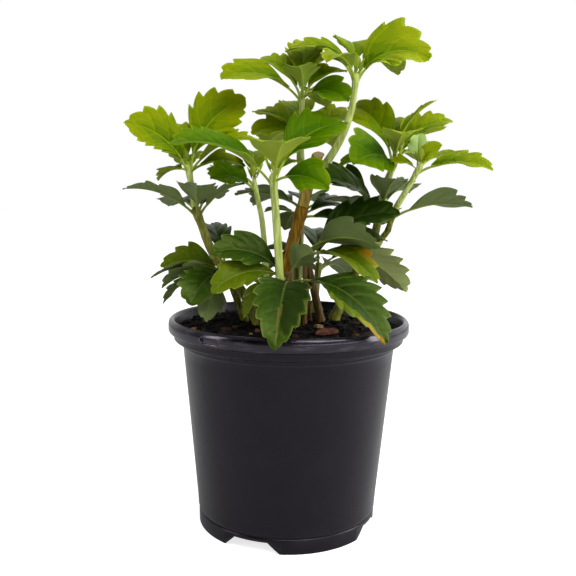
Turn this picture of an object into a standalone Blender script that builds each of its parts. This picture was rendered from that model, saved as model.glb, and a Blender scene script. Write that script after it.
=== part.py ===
"""A young Japanese spurge in a round plastic nursery pot.

Units are metres, and +Z is up. The plant is laid out about the pot's axis, and at the end it is moved
so that the origin is the middle of the underside of its bounding box. It is seen from -Y in its
reference view, so -X is its left and +Y its back. MM turns millimetres into metres.

The pot is a turned wall with a stepped rim and a foot ring cut into four feet. Shoots rise from the
potting mix. Each shoot is a chain of tapering stems and whorls, and a whorl is a short length of
stem with its leaves joined on. Each leaf is an arc of rhombic sections: a petiole, then a toothed blade.
"""

import math
import random
from collections import namedtuple

import bmesh
import bpy
from mathutils import Matrix, Vector
from mathutils.bvhtree import BVHTree

MM = 0.001
CLEAR = 0.3 * MM  # the gap between two solids that meet

# Pot
RIM_RADIUS = 70 * MM
POT_HEIGHT = 122 * MM
BODY_TOP_RADIUS = 61.6 * MM
BODY_TOP = 106 * MM
FOOT_RADIUS = 52.4 * MM
FOOT_HEIGHT = 9 * MM
WALL = 1.3 * MM
FLOOR = 7.2 * MM  # underside of the pot's floor
POT_SIDES = 64
FEET = 4
NOTCH_TURN = -22  # degrees from the front to the first notch's middle
NOTCH_HEIGHT = 6.4 * MM
NOTCH_TOP_WIDTH = 19 * MM
NOTCH_FOOT_WIDTH = 33 * MM
DRAIN_RADIUS = 4 * MM
DRAIN_CIRCLE = 38 * MM
TAB_TURN = -36  # degrees from the front to the label slot in the rim
TAB_WIDTH = 11 * MM

# Potting mix
SOIL_TOP = 118.5 * MM
SOIL_EDGE = 116 * MM
SOIL_FLAT_RADIUS = 46 * MM

# Stems and leaves
STEM_SIDES = 8
STEM_STEP = 7 * MM  # the length of one ring of a stem
FLARE = 1.35  # how much wider a stem is at the ground
CORE_LENGTH = 8 * MM
PETIOLE = 0.2  # the share of a leaf's length that is its stalk
PETIOLE_RADIUS = 0.75 * MM
LEAF_THICKNESS = 1.0 * MM  # at the midrib
LEAF_FOLD = 18  # degrees that each half of a blade rises from the midrib
SEED = 7

# A stem runs through its points, in mm, and thins from foot_mm to tip_mm. It starts on the potting mix
# if its first point has no height. One that carries on above a whorl names it, and starts there.
Stem = namedtuple("Stem", "name points foot_mm tip_mm old above", defaults=("",))
# A whorl sits on a stem's tip. Its leaves are (turn, rise, reach, roll, width): degrees about +Z from +X,
# degrees above level, mm from the stem to the leaf's tip, degrees that the blade rolls about its midrib,
# and mm across the blade. Arch is how far a leaf bends over, in degrees.
Whorl = namedtuple("Whorl", "name on arch old leaves")

STEMS = (
    Stem("main_stem", ((-5, 0), (-2, 0, 150), (5, 0, 178)), 3.8, 3.3, True),
    Stem("main_upper_stem", ((11, 0, 202), (16, 0, 218)), 3.3, 3.3, True, "main_middle_leaves"),
    Stem("top_branch", ((18, 4, 208), (28, 5, 224), (34, 5, 240), (36, 5, 254)), 2.5, 1.8, False),
    Stem("upper_left_branch", ((7.5, 4.5, 204), (5, 5, 214), (6, 5, 230), (6, 5, 244)), 1.9, 1.5, False),
    Stem("left_stem", ((-17, -12), (-27, -11, 138), (-43, -8, 158), (-51, -8, 177)), 2.8, 2.3, True),
    Stem("left_upper_stem", ((-57, -5, 201),), 2.0, 1.7, False, "left_middle_leaves"),
    Stem("front_stem", ((-4, -29), (-6, -27, 160), (-9, -25, 196)), 2.4, 2.0, False),
    Stem("thin_stem", ((-11, -14), (-15, -12, 172), (-19, -10, 193)), 1.8, 1.4, False),
    Stem("right_stem", ((27, 10), (38, 8, 145), (48, 5, 165), (52, 5, 181)), 2.9, 2.4, True),
    Stem("right_upper_stem", ((56, 5, 201), (58.5, 5, 208)), 2.2, 1.9, False, "right_middle_leaves"),
    Stem("far_right_stem", ((56, 0, 172), (58, -3, 179)), 1.9, 1.7, True),
    Stem(
        "far_right_upper_stem", ((65, -10, 196), (69, -12, 204)), 1.7, 1.5, False, "far_right_middle_leaves"
    ),
    Stem("back_stem", ((4, 22), (6, 25, 160), (7, 25, 180)), 2.5, 2.1, True),
    Stem("back_upper_stem", ((7, 25, 205), (6, 25, 224)), 2.0, 1.7, False, "back_middle_leaves"),
    Stem("base_front_stem", ((2, -17), (0, -20, 142)), 2.4, 2.2, True),
    Stem("base_left_stem", ((-26, 4), (-35, -2, 144)), 2.2, 2.0, True),
    Stem("base_right_stem", ((19, 0), (14, -4, 140), (10, -6, 155)), 2.4, 2.0, True),
    Stem("base_back_stem", ((16, 36), (18, 38, 142)), 2.2, 2.0, True),
    Stem("base_middle_stem", ((-12, 14), (-14, 15, 136)), 2.0, 1.8, True),
)

WHORLS = (
    Whorl("base_front_leaves", "base_front_stem", 80, True, (
        (264, -22, 66, 0, 32), (320, -22, 69, 20, 36), (200, 20, 47, -48, 24), (209, -6, 46, -40, 22),
        (211, -36, 34, 0, 16), (320, 40, 23, -50, 18))),
    Whorl("base_right_leaves", "base_right_stem", 70, True, (
        (350, 27, 58, 35, 30), (327, 13, 52, -20, 26), (322, -14, 49, 0, 28), (357, -20, 61, -45, 32),
        (323, 6, 50, -35, 28))),
    Whorl("base_left_leaves", "base_left_stem", 70, True, (
        (175, 6, 39, -35, 26), (197, -10, 38, 30, 24), (193, -2, 43, 0, 12), (190, -25, 40, 20, 16),
        (242, -22, 38, -20, 28), (253, -40, 38, 150, 22), (110, 34, 46, 0, 20), (70, 10, 44, 0, 26),
        (142, -8, 46, 0, 26))),
    Whorl("top_leaves", "top_branch", 108, False, (
        (350, 18, 43, 45, 50), (180, 23, 43, -25, 24), (238, 10, 34, -10, 20), (93, 32, 46, 0, 26),
        (130, 10, 44, 0, 26), (50, 10, 46, 0, 28))),
    Whorl("upper_left_leaves", "upper_left_branch", 80, False, (
        (198, 12, 48, -40, 26), (150, 36, 42, -20, 24), (266, 24, 33, 0, 22), (33, 30, 36, 20, 22),
        (335, -7, 28, 40, 26), (86, 54, 44, 0, 24), (65, -5, 36, 0, 24))),
    Whorl("front_crown_leaves", "front_stem", 70, False, (
        (205, 19, 61, -30, 32), (278, 22, 50, 0, 34), (30, 36, 58, 35, 32), (335, -8, 32, 40, 24),
        (69, 18, 34, 20, 18))),
    Whorl("thin_crown_leaves", "thin_stem", 70, False, (
        (214, 12, 29, -40, 24), (95, 32, 42, 0, 22), (140, 10, 36, 0, 22))),
    Whorl("left_crown_leaves", "left_upper_stem", 70, False, (
        (200, 38, 46, -60, 34), (130, 46, 42, -10, 24), (20, 53, 54, 58, 34), (338, 24, 44, 20, 24),
        (15, 7, 32, 25, 18), (142, -12, 26, -20, 18), (100, 5, 44, 0, 26))),
    Whorl("left_middle_leaves", "left_stem", 60, True, (
        (208, 21, 46, 0, 22), (275, 28, 38, 0, 24), (337, 33, 34, 10, 18), (80, 12, 44, 0, 26),
        (120, 4, 44, 0, 26))),
    Whorl("right_crown_leaves", "right_upper_stem", 70, False, (
        (230, 0, 38, -45, 34), (130, 46, 52, -30, 28), (85, 42, 44, 0, 24), (20, 35, 46, 24, 30),
        (345, 58, 42, 30, 9), (272, 20, 40, 0, 26), (165, -6, 32, -30, 22), (60, 0, 44, 0, 26))),
    Whorl("right_middle_leaves", "right_stem", 60, True, (
        (203, 26, 46, -35, 28), (160, 28, 48, -25, 26), (278, 30, 36, 0, 24), (60, 12, 46, 0, 28),
        (100, -5, 44, 0, 26))),
    Whorl("far_right_crown_leaves", "far_right_upper_stem", 60, False, (
        (350, 3, 41, 25, 26), (335, 48, 20, 50, 13), (80, 63, 24, 0, 13), (193, 14, 16, -25, 12),
        (50, 8, 36, 0, 20))),
    Whorl("far_right_middle_leaves", "far_right_stem", 50, True, (
        (2, 8, 46, -30, 28), (94, -11, 40, 0, 24))),
    Whorl("main_middle_leaves", "main_stem", 50, True, (
        (8, -10, 30, 35, 16), (25, 12, 28, 20, 16), (190, 4, 20, 0, 12), (110, -24, 28, 0, 16))),
    Whorl("back_crown_leaves", "back_upper_stem", 60, False, (
        (98, 38, 44, 0, 24), (70, 29, 40, 0, 22), (27, 17, 46, 25, 22), (172, 4, 30, -40, 26),
        (155, 25, 36, -20, 22), (120, -8, 44, 0, 26), (60, -8, 44, 0, 26))),
    Whorl("back_middle_leaves", "back_stem", 60, True, (
        (80, 8, 48, 0, 28), (39, 2, 46, 0, 28), (130, 2, 48, 0, 28), (170, 10, 42, 0, 24))),
    Whorl("base_back_leaves", "base_back_stem", 80, True, (
        (60, -12, 50, 0, 30), (106, -14, 50, 0, 30), (140, -10, 48, 0, 28), (175, 12, 44, 0, 26),
        (20, 8, 46, 0, 28), (95, 30, 44, 0, 26))),
    Whorl("base_middle_leaves", "base_middle_stem", 60, True, (
        (200, 7, 32, -10, 22), (262, 14, 28, 0, 22), (150, -4, 40, 0, 24), (100, 6, 40, 0, 24),
        (352, 22, 34, 0, 20))),
)

Leaf = namedtuple("Leaf", "turn rise reach arch roll sway width teeth")


def clear_scene():
    for obj in list(bpy.data.objects):
        bpy.data.objects.remove(obj)


def material(name, colour, roughness):
    made = bpy.data.materials.new(name)
    made.use_nodes = True
    shader = made.node_tree.nodes["Principled BSDF"]
    shader.inputs["Base Color"].default_value = (*colour, 1)
    shader.inputs["Roughness"].default_value = roughness
    shader.inputs["Metallic"].default_value = 0
    return made


def new_object(name, bm, finish, smooth=40):
    """An object made from bm, shaded smooth up to that angle in degrees."""
    bmesh.ops.recalc_face_normals(bm, faces=bm.faces)
    mesh = bpy.data.meshes.new(name)
    bm.to_mesh(mesh)
    bm.free()
    mesh.shade_smooth()
    mesh.set_sharp_from_angle(angle=math.radians(smooth))
    mesh.materials.append(finish)
    obj = bpy.data.objects.new(name, mesh)
    bpy.context.scene.collection.objects.link(obj)
    return obj


def evaluated_mesh(obj):
    """A copy of the object's mesh with its modifiers applied."""
    graph = bpy.context.evaluated_depsgraph_get()
    return bpy.data.meshes.new_from_object(obj.evaluated_get(graph))


def loft(bm, rings):
    """Joins rings of points, each of the same length, into a closed skin. A ring of one point is a tip."""
    rows = [[bm.verts.new(point) for point in ring] for ring in rings]
    count = len(rows[0])
    for low, high in zip(rows, rows[1:]):
        for i in range(count):
            j = (i + 1) % count
            if len(high) == 1:
                bm.faces.new((low[i], low[j], high[0]))
            else:
                bm.faces.new((low[i], low[j], high[j], high[i]))
    bm.faces.new(rows[0])
    if len(rows[-1]) > 1:
        bm.faces.new(rows[-1])


def turned(profile):
    """A bmesh of the (radius, height) profile, which is a closed outline or starts and ends on the axis."""
    bm = bmesh.new()
    verts = [bm.verts.new((radius, 0, height)) for radius, height in profile]
    edges = [bm.edges.new(pair) for pair in zip(verts, verts[1:])]
    if profile[0][0] > 0:
        edges.append(bm.edges.new((verts[-1], verts[0])))
    whole_turn = {"cent": (0, 0, 0), "axis": (0, 0, 1), "angle": math.tau, "steps": POT_SIDES}
    bmesh.ops.spin(bm, geom=verts + edges, use_merge=True, **whole_turn)
    bmesh.ops.remove_doubles(bm, verts=bm.verts, dist=0.01 * MM)
    return bm


def cut(target, cutter_mesh, name):
    """Takes the cutter's shape out of the target."""
    cutter = new_object(name, cutter_mesh, target.data.materials[0])
    modifier = target.modifiers.new(name, "BOOLEAN")
    modifier.object = cutter
    modifier.operation = "DIFFERENCE"
    modifier.solver = "MANIFOLD"
    target.data = evaluated_mesh(target)
    target.modifiers.clear()
    bpy.data.objects.remove(cutter)


def body_radius(height):
    """The outer radius of the pot's tapering wall."""
    share = (height - FOOT_HEIGHT) / (BODY_TOP - FOOT_HEIGHT)
    return FOOT_RADIUS + share * (BODY_TOP_RADIUS - FOOT_RADIUS)


def pot_profile():
    """The wall's section: up the outside, over the rim, down the inside and across the foot ring."""
    floor_top = FLOOR + WALL
    groove = 0.7 * MM
    return [
        (FOOT_RADIUS - 0.2 * MM, 0),
        (FOOT_RADIUS - groove, FOOT_HEIGHT),
        (body_radius(FOOT_HEIGHT + 1.5 * MM) + 0.2 * MM, FOOT_HEIGHT + 1.5 * MM),
        (BODY_TOP_RADIUS, BODY_TOP),
        (BODY_TOP_RADIUS + 1.2 * MM, BODY_TOP + 2.2 * MM),
        (RIM_RADIUS - 5.0 * MM, POT_HEIGHT - 12.6 * MM),
        (RIM_RADIUS - 3.2 * MM, POT_HEIGHT - 11.4 * MM),
        (RIM_RADIUS - 0.9 * MM, POT_HEIGHT - 7.4 * MM),
        (RIM_RADIUS, POT_HEIGHT - 6.2 * MM),
        (RIM_RADIUS, POT_HEIGHT - 1.6 * MM),
        (RIM_RADIUS - 2.0 * MM, POT_HEIGHT),
        (RIM_RADIUS - 4.0 * MM, POT_HEIGHT - 2.0 * MM),
        (RIM_RADIUS - 5.2 * MM, POT_HEIGHT - 8.0 * MM),
        (BODY_TOP_RADIUS - WALL, BODY_TOP + 0.5 * MM),
        (body_radius(floor_top) - WALL, floor_top),
        (2 * MM, floor_top),
        (2 * MM, FLOOR),
        (FOOT_RADIUS - 2.2 * MM, FLOOR),
        (FOOT_RADIUS - 2.0 * MM, 0),
    ]


def around_pot(turn, radius, height=0.0):
    """A place round the pot's axis. Turn 0 is the front, and it grows towards the right."""
    angle = math.radians(turn - 90)
    return Matrix.Translation((radius * math.cos(angle), radius * math.sin(angle), height)) @ Matrix.Rotation(
        angle + math.pi / 2, 4, "Z"
    )


def notch_cutter(turn):
    """A trapezium across the foot ring, wider at the ground."""
    depth = 9 * MM
    half_foot, half_top = NOTCH_FOOT_WIDTH / 2, NOTCH_TOP_WIDTH / 2
    below = 2 * MM
    spread = (half_foot - half_top) * below / NOTCH_HEIGHT
    outline = (
        (-half_foot - spread, -below),
        (half_foot + spread, -below),
        (half_top, NOTCH_HEIGHT),
        (-half_top, NOTCH_HEIGHT),
    )
    bm = bmesh.new()
    loft(bm, [[Vector((x, y, z)) for x, z in outline] for y in (-depth / 2, depth / 2)])
    bm.transform(around_pot(turn, FOOT_RADIUS - 2.5 * MM))
    return bm


def drain_cutter(turn):
    bm = bmesh.new()
    bmesh.ops.create_cone(
        bm, cap_ends=True, segments=12, radius1=DRAIN_RADIUS, radius2=DRAIN_RADIUS, depth=8 * MM
    )
    bm.transform(around_pot(turn, DRAIN_CIRCLE, FLOOR))
    return bm


def tab_cutter():
    """The slot in the rim's band that holds a plant label."""
    bm = bmesh.new()
    bmesh.ops.create_cube(bm, size=1)
    bm.transform(Matrix.Diagonal((TAB_WIDTH, 2.4 * MM, 2.6 * MM, 1)))
    bm.transform(around_pot(TAB_TURN, RIM_RADIUS + 0.2 * MM, POT_HEIGHT - 4.4 * MM))
    return bm


def build_pot(finish):
    pot = new_object("pot", turned(pot_profile()), finish, smooth=35)
    for foot in range(FEET):
        turn = NOTCH_TURN + foot * 360 / FEET
        cut(pot, notch_cutter(turn), "notch_cutter")
        cut(pot, drain_cutter(turn + 45 / FEET), "drain_cutter")
    cut(pot, tab_cutter(), "tab_cutter")


def build_soil(finish):
    """The potting mix fills the pot from its floor, with a flat middle that falls a little to the wall."""
    bottom = FLOOR + WALL + CLEAR
    inside = body_radius(bottom) - WALL - CLEAR
    profile = [
        (0, bottom),
        (inside, bottom),
        (BODY_TOP_RADIUS - WALL - CLEAR, BODY_TOP),
        (RIM_RADIUS - 5.6 * MM, SOIL_EDGE - 1.6 * MM),
        (RIM_RADIUS - 6.6 * MM, SOIL_EDGE),
        (SOIL_FLAT_RADIUS, SOIL_TOP),
        (0, SOIL_TOP),
    ]
    new_object("potting_mix", turned(profile), finish, smooth=30)


def whorl_below(stem):
    return next(whorl for whorl in WHORLS if whorl.name == stem.above)


def stem_line(stem):
    """The stem's points in metres, with its foot on the potting mix or above its whorl."""
    points = [Vector((*point, 0)[:3]) * MM for point in stem.points]
    if stem.above:
        foot, along, _ = core_of(whorl_below(stem))
        return [foot + along * (CORE_LENGTH + CLEAR), *points]
    if len(stem.points[0]) == 2:
        points[0].z = SOIL_TOP + CLEAR
    return points


def smooth_line(points, step):
    """Points about a step apart along a smooth curve through the given ones."""
    line = [points[0]]
    ends = [2 * points[0] - points[1], *points, 2 * points[-1] - points[-2]]
    for a, b, c, d in zip(ends, ends[1:], ends[2:], ends[3:]):
        count = max(1, round((c - b).length / step))
        for i in range(1, count + 1):
            t = i / count
            line.append(
                0.5
                * (2 * b + (c - a) * t + (2 * a - 5 * b + 4 * c - d) * t**2 + (3 * b - a - 3 * c + d) * t**3)
            )
    return line


def ring(centre, along, radius):
    """Points round a line, in a plane across it."""
    across = along.cross(Vector((0, 1, 0))).normalized()
    other = along.cross(across).normalized()
    turns = [math.tau * i / STEM_SIDES for i in range(STEM_SIDES)]
    return [centre + radius * (math.cos(t) * across + math.sin(t) * other) for t in turns]


def stem_rings(stem):
    """The stem's rings from foot to tip. It thins evenly, flares at the ground, and its foot is cut level
    there, or along the top of the whorl below."""
    line = smooth_line(stem_line(stem), STEM_STEP)
    grounded = len(stem.points[0]) == 2
    rings = []
    for i, point in enumerate(line):
        share = i / (len(line) - 1)
        radius = (stem.foot_mm + share * (stem.tip_mm - stem.foot_mm)) * MM
        along = (line[min(i + 1, len(line) - 1)] - line[max(i - 1, 0)]).normalized()
        if grounded and i == 0:
            radius *= FLARE
            along = Vector((0, 0, 1))
        if stem.above and i == 0:
            along = core_of(whorl_below(stem))[1]
        rings.append(ring(point, along, radius))
    return rings


def core_of(whorl):
    """Foot, direction and radius of the short length of stem that carries a whorl."""
    stem = next(s for s in STEMS if s.name == whorl.on)
    line = smooth_line(stem_line(stem), STEM_STEP)
    along = (line[-1] - line[-2]).normalized()
    return line[-1] + CLEAR * along, along, stem.tip_mm * MM


def core_rings(whorl):
    foot, along, radius = core_of(whorl)
    places = (0, 0.35, 0.8, 1)
    sizes = (1, 1.15, 1.1, 1 if whorl.old else 0.6)
    return [
        ring(foot + along * CORE_LENGTH * place, along, radius * size) for place, size in zip(places, sizes)
    ]


def outline(teeth):
    """(place along the blade, half width) pairs of an egg-shaped blade, widest past its middle, with
    teeth from there to its tip. Both run from 0 to 1."""
    widest = 0.56

    def envelope(t):
        if t < widest:
            return 0.06 + 0.94 * math.sin(math.pi / 2 * t / widest) ** 1.3
        return math.cos(math.pi / 2 * (t - widest) / (1 - widest)) ** 0.85

    pairs = [(t, envelope(t)) for t in (0, 0.14, 0.3)]
    first, last = 0.46, 0.9
    for k in range(teeth):
        tip = first + (last - first) * k / max(1, teeth - 1)
        notch = tip + 0.035
        pairs.append((tip, envelope(tip)))
        pairs.append((notch, envelope(notch) * (0.84 - 0.1 * k / teeth)))
    return pairs


def leaf_line(root, leaf, stations):
    """(point, along, side, normal) at each station from 0 to 1. A leaf bends over in an arc, and the
    chord from root to tip has its turn, rise and reach."""
    arch, sway = math.radians(leaf.arch), math.radians(leaf.sway)
    turn, rise = math.radians(leaf.turn), math.radians(leaf.rise)
    length = leaf.reach * MM * (arch / 2) / math.sin(arch / 2)

    def direction(share):
        high = rise + arch * (0.5 - share)
        side = turn + sway * (share - 0.5)
        return Vector((math.cos(high) * math.cos(side), math.cos(high) * math.sin(side), math.sin(high)))

    frames, point, previous = [], root.copy(), 0
    for share in stations:
        point = point + direction((previous + share) / 2) * length * (share - previous)
        previous = share
        along = direction(share)
        heading = turn + sway * (share - 0.5)
        side = Vector((math.sin(heading), -math.cos(heading), 0))
        spun = Matrix.Rotation(math.radians(leaf.roll) * min(1, share / PETIOLE), 3, along)
        frames.append((point, along, spun @ side, spun @ side.cross(along)))
    return frames


def leaf_rings(root, leaf):
    """The leaf's rhombic sections, petiole first, then its blade, and its tip."""
    blade = outline(leaf.teeth)
    stations = [0, PETIOLE / 2] + [PETIOLE + (1 - PETIOLE) * t for t, _ in blade] + [1]
    half = leaf.width * MM / 2
    fold = math.radians(LEAF_FOLD)
    frames = leaf_line(root, leaf, stations)
    rings = []
    for i, (point, _, side, normal) in enumerate(frames[:-1]):
        if i < 3:
            wide, lift, thick = PETIOLE_RADIUS, 0, PETIOLE_RADIUS
        else:
            wide = half * blade[i - 2][1] * math.cos(fold)
            lift = half * blade[i - 2][1] * math.sin(fold)
            thick = LEAF_THICKNESS / 2
        rings.append(
            [
                point - wide * side + lift * normal,
                point - thick * normal,
                point + wide * side + lift * normal,
                point + thick * normal,
            ]
        )
    return rings + [[frames[-1][0]]]


def skin(rings):
    """A bmesh of the closed skin through these rings, in triangles, so that every face is flat."""
    bm = bmesh.new()
    loft(bm, rings)
    bmesh.ops.triangulate(bm, faces=bm.faces)
    return bm


def tree_of(rings):
    """A search tree of the skin through these rings."""
    bm = skin(rings)
    tree = BVHTree.FromBMesh(bm)
    bm.free()
    return tree


def in_pot(rings):
    """Whether a leaf dips into the potting mix or the rim."""
    for point in (p for r in rings for p in r):
        out = math.hypot(point.x, point.y)
        if out < RIM_RADIUS - 5 * MM and point.z < SOIL_TOP + 1 * MM:
            return True
        if out < RIM_RADIUS + 1 * MM and point.z < POT_HEIGHT + 1 * MM:
            return True
    return False


def grow_leaves():
    """{whorl name: [(root, leaf)]}. A leaf that would touch a stem, another leaf or the pot is left out."""
    random.seed(SEED)
    stems = [tree_of(stem_rings(stem)) for stem in STEMS]
    cores = {whorl.name: tree_of(core_rings(whorl)) for whorl in WHORLS}
    placed, grown = [], {}
    for whorl in WHORLS:
        foot, along, radius = core_of(whorl)
        others = stems + [tree for name, tree in cores.items() if name != whorl.name]
        grown[whorl.name] = []
        for k, (turn, rise, reach, roll, width) in enumerate(whorl.leaves):
            share = 0.2 + 0.5 * k / len(whorl.leaves)
            out = Vector((math.cos(math.radians(turn)), math.sin(math.radians(turn)), 0))
            root = foot + along * CORE_LENGTH * share + out * radius * 0.4
            sway, more_roll = random.uniform(-12, 12), random.uniform(-8, 8)
            teeth = 4 if reach > 54 else 3 if reach > 32 else 2
            leaf = Leaf(turn, rise, reach, whorl.arch, roll + more_roll, sway, width, teeth)
            rings = leaf_rings(root, leaf)
            whole, blade = tree_of(rings), tree_of(rings[2:])
            if in_pot(rings) or any(whole.overlap(tree) for tree in others):
                continue
            if any(
                blade.overlap(other_whole) or whole.overlap(other_blade)
                if name == whorl.name
                else whole.overlap(other_whole)
                for name, other_whole, other_blade in placed
            ):
                continue
            placed.append((whorl.name, whole, blade))
            grown[whorl.name].append((root, leaf))
    return grown


def build_stems(old, young):
    for stem in STEMS:
        bm = bmesh.new()
        loft(bm, stem_rings(stem))
        new_object(stem.name, bm, old if stem.old else young)


def build_whorl(whorl, leaves, finish):
    """Joins a whorl's core and leaves into one solid."""
    core = new_object(whorl.name, skin(core_rings(whorl)), finish)
    while not join(core, whorl.name, leaves, finish):
        leaves.pop()


def join(core, name, leaves, finish):
    """Unites the leaves with their core, and tells whether that gave a sound solid. If not, the core
    stays as it is."""
    for solver in ("EXACT", "MANIFOLD"):
        joined = bpy.data.collections.new(name)
        for k, (root, leaf) in enumerate(leaves):
            joined.objects.link(new_object(f"{name}_{k}", skin(leaf_rings(root, leaf)), finish))
        modifier = core.modifiers.new("join", "BOOLEAN")
        modifier.operation = "UNION"
        modifier.operand_type = "COLLECTION"
        modifier.collection = joined
        modifier.solver = solver
        mesh = evaluated_mesh(core)
        core.modifiers.clear()
        for made in list(joined.objects):
            bpy.data.objects.remove(made)
        bpy.data.collections.remove(joined)
        if is_sound(mesh):
            core.data = mesh
            return True
    return False


def is_sound(mesh):
    """Cuts the mesh's faces into triangles, and tells whether it is a single closed skin."""
    bm = bmesh.new()
    bm.from_mesh(mesh)
    bmesh.ops.triangulate(bm, faces=bm.faces)
    bm.to_mesh(mesh)
    closed = all(len(edge.link_faces) == 2 for edge in bm.edges)
    reached, front = set(), [bm.verts[:][0]]
    while front:
        vert = front.pop()
        if vert not in reached:
            reached.add(vert)
            front.extend(edge.other_vert(vert) for edge in vert.link_edges)
    whole = len(reached) == len(bm.verts)
    bm.free()
    return closed and whole


def stand_on_origin():
    """Moves every solid so that the origin is the middle of the underside of the part's bounding box."""
    solids = bpy.context.scene.objects
    points = [vert.co for obj in solids for vert in obj.data.vertices]
    low = [min(point[i] for point in points) for i in range(3)]
    high = [max(point[i] for point in points) for i in range(3)]
    step = Vector((-(low[0] + high[0]) / 2, -(low[1] + high[1]) / 2, -low[2]))
    for obj in solids:
        obj.data.transform(Matrix.Translation(step))


def main():
    clear_scene()
    build_pot(material("pot plastic", (0.02, 0.02, 0.025), 0.4))
    build_soil(material("bark mix", (0.03, 0.02, 0.015), 0.95))
    build_stems(material("old stem", (0.25, 0.12, 0.03), 0.6), material("young stem", (0.3, 0.42, 0.08), 0.5))
    young = material("young leaf", (0.2, 0.36, 0.02), 0.45)
    old = material("old leaf", (0.04, 0.12, 0.02), 0.35)
    grown = grow_leaves()
    for whorl in WHORLS:
        build_whorl(whorl, grown[whorl.name], old if whorl.old else young)
    stand_on_origin()


main()
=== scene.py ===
"""The looks of a potted Japanese spurge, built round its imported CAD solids.

Lengths are in metres in the end, and MM turns millimetres into metres. The plant is laid out about the
pot's axis, as its solids are, and moved with the pot. It is seen from -Y in the reference view.

Each stem is a ribbed tube with leaf scars, which runs on through the whorl at its tip. Each leaf is a
thin folded sheet with teeth, sunken veins and a stalk, grown by the same rule and the same random draws
as its solid. The pot, the potting mix and its bark chips follow. Colours that have a place on a leaf
are plain base colours, dealt out by face.
"""

import random
from collections import namedtuple
from math import ceil, cos, exp, hypot, pi, radians, sin, sqrt, tau

import bmesh
import bpy
import numpy as np
from mathutils import Matrix, Vector, noise


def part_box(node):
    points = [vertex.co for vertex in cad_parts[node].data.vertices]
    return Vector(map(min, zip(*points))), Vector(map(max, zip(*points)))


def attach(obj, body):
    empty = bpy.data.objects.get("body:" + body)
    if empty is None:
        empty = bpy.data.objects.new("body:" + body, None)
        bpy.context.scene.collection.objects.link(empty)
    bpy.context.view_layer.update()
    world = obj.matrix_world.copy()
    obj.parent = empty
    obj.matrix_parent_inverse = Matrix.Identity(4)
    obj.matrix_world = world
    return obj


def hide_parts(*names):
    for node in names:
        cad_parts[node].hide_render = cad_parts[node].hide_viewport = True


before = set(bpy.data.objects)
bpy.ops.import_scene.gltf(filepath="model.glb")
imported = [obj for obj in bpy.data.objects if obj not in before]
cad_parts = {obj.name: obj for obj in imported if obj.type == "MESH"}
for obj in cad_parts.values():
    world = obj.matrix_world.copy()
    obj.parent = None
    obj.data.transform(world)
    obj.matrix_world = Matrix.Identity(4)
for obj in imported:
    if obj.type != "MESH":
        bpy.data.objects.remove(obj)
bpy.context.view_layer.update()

MM = 0.001
POT_LOW, POT_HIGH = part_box("pot")
POT_AXIS = Vector(((POT_LOW.x + POT_HIGH.x) / 2, (POT_LOW.y + POT_HIGH.y) / 2, 0))

# Stems and leaves, with the names and sizes of the solids
CLEAR = 0.3 * MM
SOIL_TOP = 118.5 * MM
STEM_STEP = 7 * MM  # the length of one ring of a stem's solid
FLARE = 1.35  # how much wider a stem is at the ground
CORE_LENGTH = 8 * MM
PETIOLE = 0.2  # the share of a leaf's length that is its stalk
LEAF_FOLD = 18  # degrees that each half of a blade rises from the midrib
FIRST_LEAF, LEAF_SPAN = 0.2, 0.5  # where up a core its leaves start, and the share of it that they take
ROOT_DEPTH = 0.4  # where a leaf starts, in shares of its stem's radius
SWAY, ROLL = 12, 8  # the most degrees that a leaf sways and rolls by chance
TOOTH_REACHES = (32, 54)  # a leaf has two teeth on a side, and one more past each of these, in mm
SEED = 7
SUNK = 2 * MM  # how far the foot of a stem reaches into the potting mix

# A stem runs through its points, in mm, and thins from foot_mm to tip_mm. It starts on the potting mix
# if its first point has no height. One that carries on above a whorl names it, and starts there.
Stem = namedtuple("Stem", "name points foot_mm tip_mm old above", defaults=("",))
# A whorl sits on a stem's tip. Its leaves are (turn, rise, reach, roll, width): degrees about +Z from +X,
# degrees above level, mm from the stem to the leaf's tip, degrees that the blade rolls about its midrib,
# and mm across the blade. Arch is how far a leaf bends over, in degrees.
Whorl = namedtuple("Whorl", "name on arch old leaves")

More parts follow.
